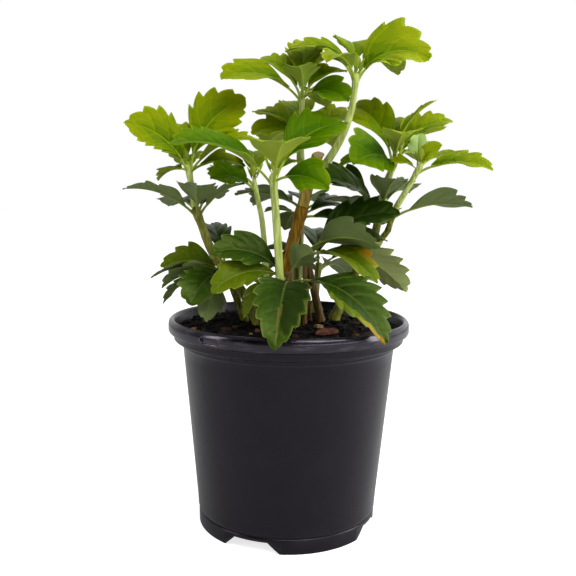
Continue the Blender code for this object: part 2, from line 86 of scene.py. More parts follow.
STEMS = (
    Stem("main_stem", ((-5, 0), (-2, 0, 150), (5, 0, 178)), 3.8, 3.3, True),
    Stem("main_upper_stem", ((11, 0, 202), (16, 0, 218)), 3.3, 3.3, True, "main_middle_leaves"),
    Stem("top_branch", ((18, 4, 208), (28, 5, 224), (34, 5, 240), (36, 5, 254)), 2.5, 1.8, False),
    Stem("upper_left_branch", ((7.5, 4.5, 204), (5, 5, 214), (6, 5, 230), (6, 5, 244)), 1.9, 1.5, False),
    Stem("left_stem", ((-17, -12), (-27, -11, 138), (-43, -8, 158), (-51, -8, 177)), 2.8, 2.3, True),
    Stem("left_upper_stem", ((-57, -5, 201),), 2.0, 1.7, False, "left_middle_leaves"),
    Stem("front_stem", ((-4, -29), (-6, -27, 160), (-9, -25, 196)), 2.4, 2.0, False),
    Stem("thin_stem", ((-11, -14), (-15, -12, 172), (-19, -10, 193)), 1.8, 1.4, False),
    Stem("right_stem", ((27, 10), (38, 8, 145), (48, 5, 165), (52, 5, 181)), 2.9, 2.4, True),
    Stem("right_upper_stem", ((56, 5, 201), (58.5, 5, 208)), 2.2, 1.9, False, "right_middle_leaves"),
    Stem("far_right_stem", ((56, 0, 172), (58, -3, 179)), 1.9, 1.7, True),
    Stem(
        "far_right_upper_stem", ((65, -10, 196), (69, -12, 204)), 1.7, 1.5, False, "far_right_middle_leaves"
    ),
    Stem("back_stem", ((4, 22), (6, 25, 160), (7, 25, 180)), 2.5, 2.1, True),
    Stem("back_upper_stem", ((7, 25, 205), (6, 25, 224)), 2.0, 1.7, False, "back_middle_leaves"),
    Stem("base_front_stem", ((2, -17), (0, -20, 142)), 2.4, 2.2, True),
    Stem("base_left_stem", ((-26, 4), (-35, -2, 144)), 2.2, 2.0, True),
    Stem("base_right_stem", ((19, 0), (14, -4, 140), (10, -6, 155)), 2.4, 2.0, True),
    Stem("base_back_stem", ((16, 36), (18, 38, 142)), 2.2, 2.0, True),
    Stem("base_middle_stem", ((-12, 14), (-14, 15, 136)), 2.0, 1.8, True),
)

WHORLS = (
    Whorl("base_front_leaves", "base_front_stem", 80, True, (
        (264, -22, 66, 0, 32), (320, -22, 69, 20, 36), (200, 20, 47, -48, 24), (209, -6, 46, -40, 22),
        (211, -36, 34, 0, 16), (320, 40, 23, -50, 18))),
    Whorl("base_right_leaves", "base_right_stem", 70, True, (
        (350, 27, 58, 35, 30), (327, 13, 52, -20, 26), (322, -14, 49, 0, 28), (357, -20, 61, -45, 32),
        (323, 6, 50, -35, 28))),
    Whorl("base_left_leaves", "base_left_stem", 70, True, (
        (175, 6, 39, -35, 26), (197, -10, 38, 30, 24), (193, -2, 43, 0, 12), (190, -25, 40, 20, 16),
        (242, -22, 38, -20, 28), (253, -40, 38, 150, 22), (110, 34, 46, 0, 20), (70, 10, 44, 0, 26),
        (142, -8, 46, 0, 26))),
    Whorl("top_leaves", "top_branch", 108, False, (
        (350, 18, 43, 45, 50), (180, 23, 43, -25, 24), (238, 10, 34, -10, 20), (93, 32, 46, 0, 26),
        (130, 10, 44, 0, 26), (50, 10, 46, 0, 28))),
    Whorl("upper_left_leaves", "upper_left_branch", 80, False, (
        (198, 12, 48, -40, 26), (150, 36, 42, -20, 24), (266, 24, 33, 0, 22), (33, 30, 36, 20, 22),
        (335, -7, 28, 40, 26), (86, 54, 44, 0, 24), (65, -5, 36, 0, 24))),
    Whorl("front_crown_leaves", "front_stem", 70, False, (
        (205, 19, 61, -30, 32), (278, 22, 50, 0, 34), (30, 36, 58, 35, 32), (335, -8, 32, 40, 24),
        (69, 18, 34, 20, 18))),
    Whorl("thin_crown_leaves", "thin_stem", 70, False, (
        (214, 12, 29, -40, 24), (95, 32, 42, 0, 22), (140, 10, 36, 0, 22))),
    Whorl("left_crown_leaves", "left_upper_stem", 70, False, (
        (200, 38, 46, -60, 34), (130, 46, 42, -10, 24), (20, 53, 54, 58, 34), (338, 24, 44, 20, 24),
        (15, 7, 32, 25, 18), (142, -12, 26, -20, 18), (100, 5, 44, 0, 26))),
    Whorl("left_middle_leaves", "left_stem", 60, True, (
        (208, 21, 46, 0, 22), (275, 28, 38, 0, 24), (337, 33, 34, 10, 18), (80, 12, 44, 0, 26),
        (120, 4, 44, 0, 26))),
    Whorl("right_crown_leaves", "right_upper_stem", 70, False, (
        (230, 0, 38, -45, 34), (130, 46, 52, -30, 28), (85, 42, 44, 0, 24), (20, 35, 46, 24, 30),
        (345, 58, 42, 30, 9), (272, 20, 40, 0, 26), (165, -6, 32, -30, 22), (60, 0, 44, 0, 26))),
    Whorl("right_middle_leaves", "right_stem", 60, True, (
        (203, 26, 46, -35, 28), (160, 28, 48, -25, 26), (278, 30, 36, 0, 24), (60, 12, 46, 0, 28),
        (100, -5, 44, 0, 26))),
    Whorl("far_right_crown_leaves", "far_right_upper_stem", 60, False, (
        (350, 3, 41, 25, 26), (335, 48, 20, 50, 13), (80, 63, 24, 0, 13), (193, 14, 16, -25, 12),
        (50, 8, 36, 0, 20))),
    Whorl("far_right_middle_leaves", "far_right_stem", 50, True, (
        (2, 8, 46, -30, 28), (94, -11, 40, 0, 24))),
    Whorl("main_middle_leaves", "main_stem", 50, True, (
        (8, -10, 30, 35, 16), (25, 12, 28, 20, 16), (190, 4, 20, 0, 12), (110, -24, 28, 0, 16))),
    Whorl("back_crown_leaves", "back_upper_stem", 60, False, (
        (98, 38, 44, 0, 24), (70, 29, 40, 0, 22), (27, 17, 46, 25, 22), (172, 4, 30, -40, 26),
        (155, 25, 36, -20, 22), (120, -8, 44, 0, 26), (60, -8, 44, 0, 26))),
    Whorl("back_middle_leaves", "back_stem", 60, True, (
        (80, 8, 48, 0, 28), (39, 2, 46, 0, 28), (130, 2, 48, 0, 28), (170, 10, 42, 0, 24))),
    Whorl("base_back_leaves", "base_back_stem", 80, True, (
        (60, -12, 50, 0, 30), (106, -14, 50, 0, 30), (140, -10, 48, 0, 28), (175, 12, 44, 0, 26),
        (20, 8, 46, 0, 28), (95, 30, 44, 0, 26))),
    Whorl("base_middle_leaves", "base_middle_stem", 60, True, (
        (200, 7, 32, -10, 22), (262, 14, 28, 0, 22), (150, -4, 40, 0, 24), (100, 6, 40, 0, 24),
        (352, 22, 34, 0, 20))),
)

Leaf = namedtuple("Leaf", "turn rise reach arch roll sway width teeth")
# The outline of a blade: where it is widest, how blunt its tip is (less is blunter), and its first tooth
Shape = namedtuple("Shape", "widest tip first_tooth", defaults=(0.56, 0.85, 0.56))

# Detail of stems and leaves
STEM_SIDES = 24
STALK_SIDES, STALK_RINGS = 10, 34
STEM_RING = 0.9 * MM  # between two rings of a stem
RIDGES, RIDGE_RISE = 6, 0.035  # round a stem, and their height in shares of its radius
STEM_ROUGH = 0.03
SCAR_RISE, YOUNG_SCAR_RISE = 0.16, 0.08
SCAR_EDGE = 0.55  # how much of a scar's rise there is where its colour starts
SHEET = 0.42 * MM  # a blade's thickness, away from its margin
FRAMES = 60  # places along a leaf at which its line is worked out
SWEEP = 0.75  # how far a side vein runs forward for each step outwards
ACROSS = (0, 0.04, 0.11, 0.22, 0.34, 0.46, 0.58, 0.69, 0.79, 0.88, 0.955, 1)  # places on a half blade
MAP_NAME = "OFBake"  # the texture map of a piece
MAP_GAP = 0.03  # the share of a grid's cell that stays empty on each side
# Leaves of another shape than the rest, with more teeth
SHAPES = {
    "base_front_leaves": {0: Shape(0.42, 0.72, 0.36), 1: Shape(0.5, 0.9, 0.32)},
    "base_left_leaves": {4: Shape(0.55, 0.7, 0.34)},
    "base_right_leaves": {3: Shape(0.55, 0.8, 0.34)},
    "left_crown_leaves": {0: Shape(0.5, 0.95, 0.34), 2: Shape(0.55, 0.7, 0.3), 5: Shape(0.5, 0.95, 0.34)},
    "thin_crown_leaves": {0: Shape(0.55, 0.85, 0.34)},
    "top_leaves": {0: Shape(0.5, 0.95, 0.42)},
    "upper_left_leaves": {0: Shape(0.62, 0.6, 0.75)},
}
SIDE_VEINS = (0.2, 0.36)  # where those that reach no tooth end
LAST_TOOTH = 0.92
TOOTH_FALL = 0.022  # how far a tooth's steep side runs along the blade
MIDRIB_SHARE, MARGIN_SHARE = 0.03, 0.96  # across a half blade: where the midrib ends and the margin starts
BUD_LEAVES = 4  # the small leaves that stand in the middle of a young whorl
BUD_PLACE = 0.95  # where they start, up its core


def paint(red, green, blue):
    """A linear colour from 0 to 255 values as they look on a screen."""
    shares = (red / 255, green / 255, blue / 255)
    return tuple(((c + 0.055) / 1.055) ** 2.4 if c > 0.04 else c / 12.92 for c in shares)


# A paint's materials: its tones, and then these
TONES = 5
VEIN, MARGIN, UNDER, STALK = 5, 6, 7, 8
# A leaf's paint: its upper side from the fold at the stalk to the margin at the tip, its veins, margin,
# underside and stalk. Gloss is its roughness, shine its specular level, and through the share of the light
# that spreads inside the blade and out of its other side. Its colours, and a patch's, are as paint takes
# them.
Paint = namedtuple("Paint", "tones vein margin under stalk gloss shine through")
PAINTS = {
    "young": Paint(
        ((68, 96, 0), (90, 114, 0), (107, 125, 0), (119, 131, 0), (127, 136, 0)),
        (120, 140, 12), (130, 146, 16), (140, 156, 52), (150, 166, 60), 0.47, 0.08, 0.5,
    ),
    "green": Paint(
        ((40, 73, 0), (52, 85, 0), (64, 96, 0), (76, 104, 0), (88, 112, 0)),
        (88, 118, 8), (98, 124, 12), (130, 147, 52), (140, 158, 56), 0.46, 0.06, 0.4,
    ),
    "old": Paint(
        ((22, 40, 2), (28, 48, 3), (34, 56, 4), (42, 63, 6), (51, 70, 8)),
        (62, 80, 24), (74, 90, 32), (98, 112, 66), (112, 124, 52), 0.33, 0.22, 0.15,
    ),
    "dark": Paint(
        ((10, 26, 0), (14, 32, 1), (18, 38, 2), (24, 44, 3), (32, 50, 4)),
        (44, 62, 14), (58, 72, 22), (74, 80, 24), (100, 112, 44), 0.36, 0.14, 0.12,
    ),
    "pale": Paint(
        ((70, 88, 34), (82, 98, 42), (94, 108, 50), (106, 118, 60), (118, 128, 70)),
        (134, 144, 84), (146, 152, 90), (150, 160, 100), (130, 140, 70), 0.42, 0.22, 0.25,
    ),
    "olive": Paint(
        ((58, 76, 2), (66, 84, 3), (74, 92, 4), (82, 98, 6), (92, 106, 8)),
        (104, 114, 32), (114, 122, 36), (128, 132, 66), (120, 124, 48), 0.35, 0.18, 0.25,
    ),
}
THROUGH_RADIUS = (0.8, 1.4, 0.2)  # how far red, green and blue spread inside a blade, in thicknesses
LEAF_TINT = (0.8, 1, 0.3, 1)  # the colour of a leaf's sheen
# A patch of another colour on a leaf: how far along and across it starts and ends, and its side (-1, 1,
# or 0 for both).
Patch = namedtuple("Patch", "colour start end inner outer side")
YELLOW = (116, 112, 12)
LIME = (130, 146, 6)
ORANGE = (150, 100, 10)
BROWN = (84, 74, 26)
# Painted shade: the darker colour of the half of the front leaf by the rim that lies in shade
PAINTED_SHADE = (20, 37, 2)
MOSS = (78, 92, 6)
PALE = (152, 174, 104)
PATCHES = {
    ("base_front_leaves", 0): (Patch(PAINTED_SHADE, 0, 0.85, 0.05, 0.9, -1), Patch(BROWN, 0.55, 1, 0, 0.16, 0)),
    ("base_front_leaves", 1): (
        Patch(MOSS, 0.35, 1, 0.66, 1, 1), Patch(YELLOW, 0.72, 1, 0.5, 1, 1), Patch(ORANGE, 0.88, 1, 0.2, 1, 1)
    ),
    ("base_right_leaves", 2): (Patch(YELLOW, 0.42, 0.74, 0.62, 1, -1), Patch(ORANGE, 0.5, 0.68, 0.84, 1, -1)),
    ("far_right_crown_leaves", 1): (Patch(LIME, 0, 1, 0, 1, 0),),
    ("far_right_crown_leaves", 2): (Patch(PALE, 0, 1, 0, 1, 0),),
}
LEAF_PAINTS = {
    "base_front_leaves": {3: "olive", 4: "olive"},
    "base_right_leaves": {0: "dark", 2: "olive", 3: "pale"},
    "base_left_leaves": {0: "olive"},
    "upper_left_leaves": {2: "green", 4: "green"},
    "front_crown_leaves": {0: "green", 2: "green", 3: "green"},
    "right_crown_leaves": {0: "green", 6: "green"},
    "thin_crown_leaves": {0: "green"},
}


STEM_NAMED = {stem.name: stem for stem in STEMS}
WHORL_NAMED = {whorl.name: whorl for whorl in WHORLS}
WHORL_ON = {whorl.on: whorl for whorl in WHORLS}


def stem_line(stem):
    """The stem's points in metres, with its foot on the potting mix or above its whorl."""
    points = [Vector((*point, 0)[:3]) * MM for point in stem.points]
    if stem.above:
        foot, along, _ = core_of(WHORL_NAMED[stem.above])
        return [foot + along * (CORE_LENGTH + CLEAR), *points]
    if len(stem.points[0]) == 2:
        points[0].z = SOIL_TOP + CLEAR
    return points


def smooth_line(points, step):
    """Points about a step apart along a smooth curve through the given ones."""
    line = [points[0]]
    ends = [2 * points[0] - points[1], *points, 2 * points[-1] - points[-2]]
    for a, b, c, d in zip(ends, ends[1:], ends[2:], ends[3:]):
        count = max(1, round((c - b).length / step))
        for i in range(1, count + 1):
            t = i / count
            line.append(
                0.5
                * (2 * b + (c - a) * t + (2 * a - 5 * b + 4 * c - d) * t**2 + (3 * b - a - 3 * c + d) * t**3)
            )
    return line


def core_of(whorl):
    """Foot, direction and radius of the short length of stem that carries a whorl."""
    stem = STEM_NAMED[whorl.on]
    line = smooth_line(stem_line(stem), STEM_STEP)
    along = (line[-1] - line[-2]).normalized()
    return line[-1] + CLEAR * along, along, stem.tip_mm * MM


def leaf_line(root, leaf, stations):
    """(point, along, side, normal) at each station from 0 to 1. A leaf bends over in an arc, and the
    chord from root to tip has its turn, rise and reach."""
    arch, sway = radians(leaf.arch), radians(leaf.sway)
    turn, rise = radians(leaf.turn), radians(leaf.rise)
    length = leaf.reach * MM * (arch / 2) / sin(arch / 2)

    def direction(share):
        high = rise + arch * (0.5 - share)
        side = turn + sway * (share - 0.5)
        return Vector((cos(high) * cos(side), cos(high) * sin(side), sin(high)))

    frames, point, previous = [], root.copy(), 0
    for share in stations:
        point = point + direction((previous + share) / 2) * length * (share - previous)
        previous = share
        along = direction(share)
        heading = turn + sway * (share - 0.5)
        side = Vector((sin(heading), -cos(heading), 0))
        spun = Matrix.Rotation(radians(leaf.roll) * min(1, share / PETIOLE), 3, along)
        frames.append((point, along, spun @ side, spun @ side.cross(along)))
    return frames


def ring_turns(count):
    return np.linspace(0, tau, count, endpoint=False)


def tube_rings(centre, reach, turns, across, other):
    """Rings of points round a line, each in the plane of the two directions at its place."""
    rings = centre[:, None] + (reach * np.cos(turns))[..., None] * across[:, None]
    return rings + (reach * np.sin(turns))[..., None] * other[:, None]


def face_corners(grid, flipped):
    """The four corners of each face of a grid, in order."""
    corners = [grid[:-1, :-1], grid[:-1, 1:], grid[1:, 1:], grid[1:, :-1]]
    return corners[::-1] if flipped else corners


def add_object(name, data):
    made = bpy.data.objects.new(name, data)
    bpy.context.scene.collection.objects.link(made)
    return made


def smooth_object(name, mesh, angle):
    """An object of that mesh, smooth but for edges sharper than the angle, in degrees."""
    mesh.shade_smooth()
    mesh.set_sharp_from_angle(angle=radians(angle))
    return add_object(name, mesh)


class Skin:
    """Points and faces of one piece, gathered grid by grid. Each grid has a cell of its own in the piece's
    texture map."""

    def __init__(self):
        self.points, self.faces, self.slots, self.cells, self.count = [], [], [], [], 0

    def grid(self, points, slots, closed=False, flipped=False):
        """Joins rows of points by faces. points has a shape of (rows, columns, 3) and slots gives each
        face's paint. A closed grid's last column meets its first, and a flipped one faces the other way."""
        rows, columns = points.shape[:2]
        index = self.count + np.arange(rows * columns).reshape(rows, columns)
        if closed:
            index = np.concatenate([index, index[:, :1]], axis=1)
        self.points.append(points.reshape(-1, 3))
        self.faces.append(np.stack(face_corners(index, flipped), axis=-1).reshape(-1, 4))
        self.slots.append(np.broadcast_to(slots, (rows - 1, index.shape[1] - 1)).reshape(-1))
        across, along = np.meshgrid(np.linspace(0, 1, index.shape[1]), np.linspace(0, 1, rows))
        places = np.stack([across, along], axis=-1)
        self.cells.append(np.stack(face_corners(places, flipped), axis=-2).reshape(-1, 4, 2))
        self.count += rows * columns
        return index

    def cap(self, ring, centre, slot):
        """Closes a ring of point numbers with a fan of faces round a centre."""
        ring = ring[:-1] if ring[0] == ring[-1] else ring
        fan = np.array([(a, b, self.count, self.count) for a, b in zip(ring, np.roll(ring, -1))])
        self.points.append(np.array([centre]))
        self.faces.append(fan)
        self.slots.append(np.full(len(fan), slot))
        self.cells.append(np.tile([[0.0, 0.0], [1.0, 0.0], [0.5, 1.0], [0.5, 1.0]], (len(fan), 1, 1)))
        self.count += 1

    def tube(self, rings, slots, foot, tip, foot_slot, tip_slot):
        """A closed grid with a cap at each end, whose middles are foot and tip."""
        index = self.grid(rings, slots, closed=True)
        self.cap(index[0][::-1], foot, foot_slot)
        self.cap(index[-1], tip, tip_slot)

    def build(self, name, materials, angle):
        """The piece's object, moved with the pot."""
        mesh = bpy.data.meshes.new(name)
        faces = np.concatenate(self.faces)
        corners = [face[:3] if face[2] == face[3] else face for face in faces.tolist()]
        points = np.concatenate(self.points) + np.array(POT_AXIS)
        mesh.from_pydata(points.tolist(), [], corners)
        mesh.polygons.foreach_set("material_index", np.concatenate(self.slots).astype(np.int32))
        side = ceil(sqrt(len(self.cells)))
        places = np.concatenate([
            (cell * (1 - 2 * MAP_GAP) + MAP_GAP + np.array([k % side, k // side])) / side
            for k, cell in enumerate(self.cells)
        ])
        kept = np.ones(places.shape[:2], bool)
        kept[:, 3] = faces[:, 2] != faces[:, 3]
        mesh.uv_layers.new(name=MAP_NAME).data.foreach_set("uv", places[kept].ravel())
        for material in materials:
            mesh.materials.append(material)
        return smooth_object(name, mesh, angle)


def shader_of(material):
    return material.node_tree.nodes["Principled BSDF"]


def set_inputs(target, values):
    """Sets a node's inputs by their names or numbers."""
    for name, value in values.items():
        target.inputs[name].default_value = value


def node(material, kind, **values):
    """A new node of that kind, with the values set on its inputs by name and on itself."""
    made = material.node_tree.nodes.new(kind)
    for name, value in values.items():
        if name in made.inputs:
            made.inputs[name].default_value = value
        else:
            setattr(made, name, value)
    return made


def join(owner, start, output, end, entry):
    """Leads one node's output into another's input."""
    owner.node_tree.links.new(start.outputs[output], end.inputs[entry])


def noise_node(material, scale, detail=3, stretch=(1, 1, 1)):
    """A noise pattern in the piece's own coordinates, with that many repeats to a metre."""
    place = node(material, "ShaderNodeTexCoord")
    mapping = node(material, "ShaderNodeMapping", Scale=stretch)
    pattern = node(material, "ShaderNodeTexNoise", Scale=scale, Detail=detail)
    join(material, place, "Object", mapping, "Vector")
    join(material, mapping, "Vector", pattern, "Vector")
    return pattern


def patterned(material, marks, kind, entry, result, shader_input, **values):
    """Leads a noise pattern through a new node of that kind into the shader. Marks are the pattern's scale,
    detail and stretch."""
    changer = node(material, kind, **values)
    join(material, noise_node(material, *marks), "Fac", changer, entry)
    join(material, changer, result, shader_of(material), shader_input)
    return changer


def mottle(material, colours, marks, low=0.3, high=0.7):
    """The base colour goes through the colours as the pattern goes from low to high."""
    ramp = patterned(material, marks, "ShaderNodeValToRGB", "Fac", "Color", "Base Color")
    elements = ramp.color_ramp.elements
    while len(elements) < len(colours):
        elements.new(0.5)
    for k, (element, colour) in enumerate(zip(elements, colours)):
        element.position = low + (high - low) * k / (len(colours) - 1)
        element.color = (*colour, 1)


def bumpy(material, marks, strength, distance):
    """Fine relief, distance metres deep."""
    values = {"Strength": strength, "Distance": distance}
    patterned(material, marks, "ShaderNodeBump", "Height", "Normal", "Normal", **values)


def uneven_gloss(material, marks, low, high):
    values = {"To Min": low, "To Max": high}
    patterned(material, marks, "ShaderNodeMapRange", "Value", "Result", "Roughness", **values)


def new_material(name, colour, roughness, shine):
    """A material of a plain colour. Shine is its specular level."""
    made = bpy.data.materials.new(name)
    made.use_nodes = True
    values = {"Base Color": (*colour, 1), "Roughness": roughness, "Specular IOR Level": shine}
    set_inputs(shader_of(made), values)
    return made


def leaf_material(name, colour, gloss, shine, through):
    """A leaf's plain base colour, with fine relief and an uneven gloss with a green cast."""
    made = new_material(name, paint(*colour), gloss, shine)
    inside = {"Subsurface Weight": through, "Subsurface Radius": THROUGH_RADIUS, "Subsurface Scale": SHEET}
    set_inputs(shader_of(made), {"Specular Tint": LEAF_TINT, **inside})
    bumpy(made, (330, 5), 0.6, 0.45 * MM)
    uneven_gloss(made, (220, 3), gloss - 0.06, gloss + 0.14)
    return made


def leaf_materials():
    """{paint name: materials}, in the order of the tones, vein, margin, underside and stalk."""
    made = {}
    for name, coat in PAINTS.items():
        colours = [*coat.tones, coat.vein, coat.margin, coat.under, coat.stalk]
        made[name] = [
            leaf_material(
                f"{name}_leaf_{k}", colour, coat.gloss + 0.2 * (k == UNDER), coat.shine, coat.through
            )
            for k, colour in enumerate(colours)
        ]
    return made


def soft_random(draws, rows, columns, cells):
    """Smooth random values from -1 to 1 in a grid, with about that many cells each way."""
    coarse = draws.uniform(-1, 1, (cells, cells))
    across = np.linspace(0, cells - 1, columns)
    wide = np.array([np.interp(across, np.arange(cells), row) for row in coarse])
    along = np.linspace(0, cells - 1, rows)
    return np.array([np.interp(along, np.arange(cells), wide[:, j]) for j in range(columns)]).T


def envelope(place, shape):
    """The half width of a blade without its teeth, along its length."""
    widest = shape.widest
    inner = 0.06 + 0.94 * np.sin(np.pi / 2 * np.clip(place / widest, 0, 1)) ** 1.3
    outer = np.cos(np.pi / 2 * np.clip((place - widest) / (1 - widest), 0, 1)) ** shape.tip
    return np.where(place < widest, inner, np.maximum(outer, 0.02))


def tooth_tips(leaf, shape):
    span = LAST_TOOTH - shape.first_tooth
    return [shape.first_tooth + span * k / max(1, leaf.teeth - 1) for k in range(leaf.teeth)]


def toothed(place, tips):
    """1 at the tips of the teeth and where there are none, and 0 in the notches behind them."""
    height = np.ones_like(place)
    for k, tip in enumerate(tips):
        following = tips[k + 1] if k + 1 < len(tips) else min(0.99, tip + 0.11)
        notch = tip + TOOTH_FALL
        height = np.where((place > tip) & (place <= notch), 1 - (place - tip) / TOOTH_FALL, height)
        rise = ((place - notch) / (following - notch)).clip(0, 1) ** 0.75
        height = np.where((place > notch) & (place <= following), rise, height)
    return height


def blade_numbers(leaf, shape, draws):
    """How far along, out to the side and off the fold each point of a blade lies, in shares of the blade's
    length and in metres, with the distance of each from its side's nearest vein."""
    rows = int(40 + leaf.reach)
    place = np.linspace(0, 1, rows)
    half = leaf.width * MM / 2
    length = leaf.reach * MM * (1 - PETIOLE)
    plain = envelope(place, shape)
    start = np.maximum.accumulate((place - SWEEP * plain * half / length).clip(0, 1)) * 0.96 + place * 0.04
    v = np.array([-x for x in reversed(ACROSS)] + list(ACROSS[1:]))
    along = np.zeros((rows, len(v)))
    aside = np.zeros((rows, len(v)))
    off_vein = np.ones((rows, len(v)))
    height = np.zeros((rows, len(v)))
    for side in (-1, 1):
        shift = draws.uniform(-0.03, 0.03)
        depth = draws.uniform(0.19, 0.29)
        tips = [tip + shift for tip in tooth_tips(leaf, shape)]
        teeth = toothed(place, tips)
        wide = half * plain * (1 - depth * (1 - teeth))
        here = v * side >= 0
        out = np.abs(v[here])[None, :]
        along[:, here] = start[:, None] + (place - start)[:, None] * out**1.25
        along[:, here] += 0.025 * (teeth - 0.5)[:, None] * out**6 * (place < 0.97)[:, None]
        aside[:, here] = v[here][None, :] * wide[:, None]
        for tip in [*SIDE_VEINS, *tips]:
            off_vein[:, here] = np.minimum(off_vein[:, here], np.abs(place - tip)[:, None])
        wave = draws.uniform(0, tau)
        swing = np.sin(tau * draws.uniform(1.3, 2.2) * place + wave)[:, None] * out**2
        height[:, here] = half * (0.07 * swing + 0.05 * (teeth - 0.6)[:, None] * out**5)
    return v, along, aside, off_vein, height, half


def grow_blade(skin, root, leaf, shape, first, patches, draws):
    """Adds a leaf to the skin: the upper and under sides of its blade, its margin, and its stalk, which
    runs on under the blade as its midrib. first is the number of its paint's first material."""
    stations = np.linspace(0, 1, FRAMES)
    frames = leaf_line(root, leaf, stations.tolist())
    points, _, sides, normals = (np.array(column) for column in zip(*frames))

    def at(values, places):
        return np.stack([np.interp(places, stations, values[:, i]) for i in range(3)], axis=-1)

    v, along, aside, off_vein, height, half = blade_numbers(leaf, shape, draws)
    rows, columns = aside.shape
    spot = PETIOLE + (1 - PETIOLE) * along.clip(0, 1)
    fold = np.radians(np.interp(along, (0, 0.35, 0.7, 1), (34, LEAF_FOLD + 2, LEAF_FOLD - 2, LEAF_FOLD - 8)))
    out = np.abs(v)[None, :]
    lift = np.abs(aside) * np.sin(fold) * (1.15 - 0.35 * out) + height
    veins = np.exp(-((off_vein / 0.014) ** 2)) * (1 - out**4) * np.minimum(1, out / 0.1)
    lift -= np.minimum(0.35 * MM, half * 0.03) * veins
    lift -= 0.3 * MM * np.exp(-((aside / (0.9 * MM)) ** 2)) * (1 - along.clip(0, 1) * 0.6)
    lift += 0.25 * MM * soft_random(draws, rows, columns, 7) * out
    centre = at(points, spot) + aside[..., None] * np.cos(fold)[..., None] * at(sides, spot)
    normal = at(normals, spot)
    thick = (SHEET / 2 * (1 - 0.75 * out**6))[..., None]
    upper = centre + (lift[..., None] + thick) * normal
    lower = centre + (lift[..., None] - thick) * normal
    mid_v = np.abs((v[:-1] + v[1:]) / 2)[None, :]
    mid_along = (along[:-1, :-1] + along[1:, 1:]) / 2
    mid_side = np.sign(v[:-1] + v[1:])[None, :]
    blur = 0.13 * soft_random(draws, rows - 1, columns - 1, 6)
    shade = 0.5 * mid_along + 0.42 * mid_v + blur
    slots = (shade * TONES).astype(int).clip(0, TONES - 1)
    near = (off_vein[:-1, :-1] + off_vein[1:, 1:]) / 2
    slots = np.where((near < 0.55 / rows) & (mid_v < 0.8), np.minimum(slots + 1, TONES - 1), slots)
    slots = slots + first
    for slot, patch in patches:
        inside = (mid_along + blur > patch.start) & (mid_along + blur <= patch.end + 0.2 * (patch.end >= 1))
        inside &= (mid_v + blur >= patch.inner) & (mid_v <= patch.outer)
        inside &= (mid_side * patch.side >= 0) | (patch.side == 0)
        slots = np.where(inside, slot, slots)
    slots = np.where(mid_v < MIDRIB_SHARE, first + VEIN, slots)
    slots = np.where((mid_v > MARGIN_SHARE) & (mid_along > 0.05), first + MARGIN, slots)
    top = skin.grid(upper, slots)
    under = skin.grid(lower, first + UNDER, flipped=True)
    edge = [np.stack([under[:, j], top[:, j]], axis=1) for j in (0, -1)]
    ends = [np.stack([top[i], under[i]], axis=1) for i in (0, -1)]
    for strip, way in zip(edge + ends, (1, -1, 1, -1)):
        quads = np.stack([strip[:-1, 0], strip[1:, 0], strip[1:, 1], strip[:-1, 1]], axis=-1)[:, ::way]
        skin.faces.append(quads)
        skin.slots.append(np.full(len(quads), first + MARGIN))
        skin.cells.append(np.tile([[0.0, 0.0], [1.0, 0.0], [1.0, 1.0], [0.0, 1.0]], (len(quads), 1, 1)))
    grow_stalk(skin, leaf, at, points, sides, normals, first + STALK)


def grow_stalk(skin, leaf, at, points, sides, normals, slot):
    """A grooved stalk that thins into the midrib on the underside."""
    ends = np.linspace(0, 0.95, STALK_RINGS)
    small = min(1, leaf.reach / 30)
    radius = np.interp(ends, (0, 0.04, PETIOLE, 0.5, 0.95), (1.15, 0.85, 0.72, 0.5, 0.15)) * MM * small
    drop = np.interp(ends, (0, PETIOLE - 0.04, PETIOLE + 0.08, 0.95), (0, 0.05, 0.45, 0.4)) * MM * small
    turns = ring_turns(STALK_SIDES)
    groove = 1 - 0.3 * np.exp(-((np.minimum(turns, tau - turns) / 0.55) ** 2))
    centre = at(points, ends) - drop[:, None] * at(normals, ends)
    rings = tube_rings(centre, radius[:, None] * groove, turns, at(normals, ends), at(sides, ends))
    index = skin.grid(rings, slot, closed=True, flipped=True)
    skin.cap(index[0], centre[0], slot)
    skin.cap(index[-1][::-1], centre[-1], slot)


def bud_leaves(draws):
    """The small leaves in the middle of a young whorl."""
    made = []
    for k in range(BUD_LEAVES):
        turn = 360 * k / BUD_LEAVES + draws.uniform(-25, 25)
        reach = draws.uniform(7, 12)
        rise, sway = draws.uniform(62, 78), draws.uniform(-20, 20)
        made.append(Leaf(turn, rise, reach, -20, 0, sway, reach * 0.42, 2))
    return made


